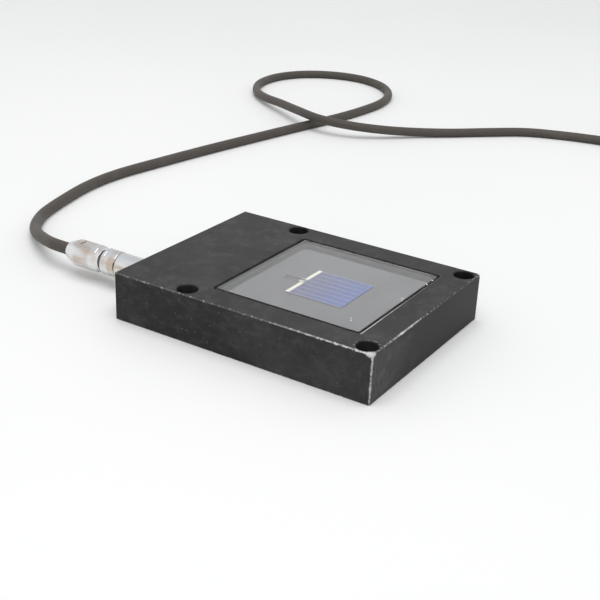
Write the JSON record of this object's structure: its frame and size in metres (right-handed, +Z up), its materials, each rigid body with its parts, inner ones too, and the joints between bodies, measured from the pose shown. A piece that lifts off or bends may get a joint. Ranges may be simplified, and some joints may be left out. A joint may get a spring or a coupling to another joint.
{
  "type": "solar reference cell",
  "caption": "Flat black aluminium block with a small silicon cell under a square glass window, and a push-pull plug with a coiled lead on one end face.",
  "frame": {"origin": "centre of the housing's flat underside, which rests on the table", "axes": "+X along the long front face, away from the connector; +Y from the front face to the back; +Z up, out of the window"},
  "size_m": [0.2656, 0.3801, 0.016],
  "materials": {
    "black_anodised": "satin anodised, bare metal on worn edges",
    "carrier_grey": "blasted and clear anodised",
    "window_glass": "polished",
    "bead_sealant": "satin",
    "silicon": "smooth, blue coating",
    "silver_print": "matt printed silver",
    "solder": "dull",
    "lead_sleeving": "satin",
    "black_polymer": "matt",
    "copper": "bright",
    "thermal_pad": "matt",
    "ceramic": "matt",
    "tinned_wire": "bright",
    "board_laminate": "solder mask",
    "nylon": "satin",
    "stainless": "turned",
    "gold_plate": "bright plate",
    "wire_red": "satin",
    "wire_black": "satin",
    "wire_white": "satin",
    "wire_yellow": "satin",
    "gasket_rubber": "matt",
    "nickel_plate": "satin chrome plate",
    "insert_polymer": "matt",
    "brass_collet": "turned",
    "cable_jacket": "matt",
    "strap_fabric": "hook and loop strap"
  },
  "bodies": {
    "housing": {"housing": "black_anodised", "window_glass": "window_glass", "window_bead": "bead_sealant", "solar_cell": "silicon", "grid_fingers": "silver_print", "busbar": "silver_print", "solder_tab": "solder", "front_lead": "lead_sleeving", "feedthrough_sleeve": "black_polymer", "back_contact_foil": "copper", "rear_lead": "copper", "cell_carrier": "carrier_grey", "thermal_pad": "thermal_pad", "temperature_sensor": "ceramic", "sensor_leads": "tinned_wire", "terminal_board": "board_laminate", "board_spacers": "nylon", "board_screws": "stainless", "terminal_posts": "gold_plate", "wire_red": "wire_red", "wire_black": "wire_black", "wire_white": "wire_white", "wire_yellow": "wire_yellow", "cover_gasket": "gasket_rubber", "back_cover": "black_anodised", "cover_screws": "stainless", "receptacle_shell": "nickel_plate", "receptacle_seal": "gasket_rubber", "receptacle_insert": "insert_polymer", "receptacle_sockets": "gold_plate"},
    "plug": {"plug_shell": "nickel_plate", "plug_insert": "insert_polymer", "plug_pins": "gold_plate", "plug_collet": "brass_collet", "plug_collet_nut": "nickel_plate", "cable_run": "cable_jacket", "cable_coil": "cable_jacket", "coil_tie": "strap_fabric", "cable_tail": "cable_jacket", "far_plug_shell": "nickel_plate", "far_plug_insert": "insert_polymer", "far_plug_pins": "gold_plate", "far_plug_collet": "brass_collet", "far_plug_collet_nut": "nickel_plate"},
    "plug_sleeve": {"plug_latch_sleeve": "nickel_plate"},
    "far_sleeve": {"far_plug_latch_sleeve": "nickel_plate"}
  },
  "joints": [
    {"name": "plug_pull", "type": "slide", "parent": "housing", "child": "plug", "axis": [-1, 0, 0], "range_m": [0, 0.012]},
    {"name": "plug_latch_slide", "type": "slide", "parent": "plug", "child": "plug_sleeve", "axis": [-1, 0, 0], "range_m": [0, 0.0014], "stiffness_N_per_m": 500},
    {"name": "far_latch_slide", "type": "slide", "parent": "plug", "child": "far_sleeve", "axis": [0, -1, 0], "range_m": [0, 0.0014], "stiffness_N_per_m": 500}
  ]
}
